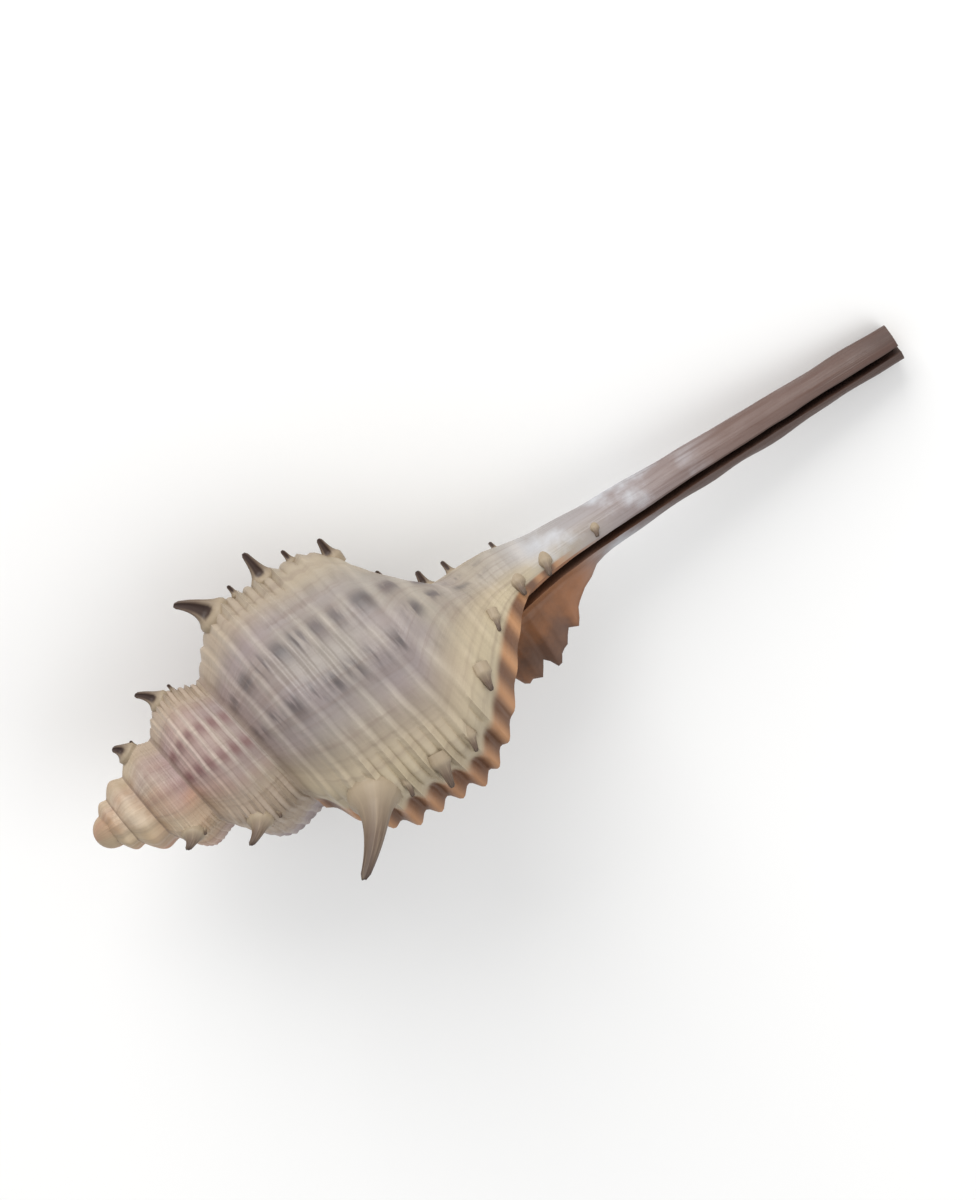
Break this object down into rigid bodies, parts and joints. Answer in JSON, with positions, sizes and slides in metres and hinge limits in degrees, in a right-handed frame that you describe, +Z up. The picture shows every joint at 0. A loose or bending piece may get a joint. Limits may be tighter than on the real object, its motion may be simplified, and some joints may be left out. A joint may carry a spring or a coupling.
{
  "type": "murex shell",
  "caption": "Spiny murex sea shell with a stepped spire, thick ridges set with spines, an open mouth and a long straight canal, lying at rest.",
  "frame": {"origin": "under the middle of the shell's box, on the surface that it lies on", "axes": "+X along the shell towards the end of its canal, +Z up as it lies, the mouth opening towards -Y"},
  "size_m": [0.075, 0.0236, 0.0272],
  "materials": {
    "shell": "dull natural shell, grey-beige and mauve-brown with pale spiral cords, dark canal and orange-brown mouth"
  },
  "bodies": {
    "root": {"murex_shell": "shell"}
  },
  "joints": []
}
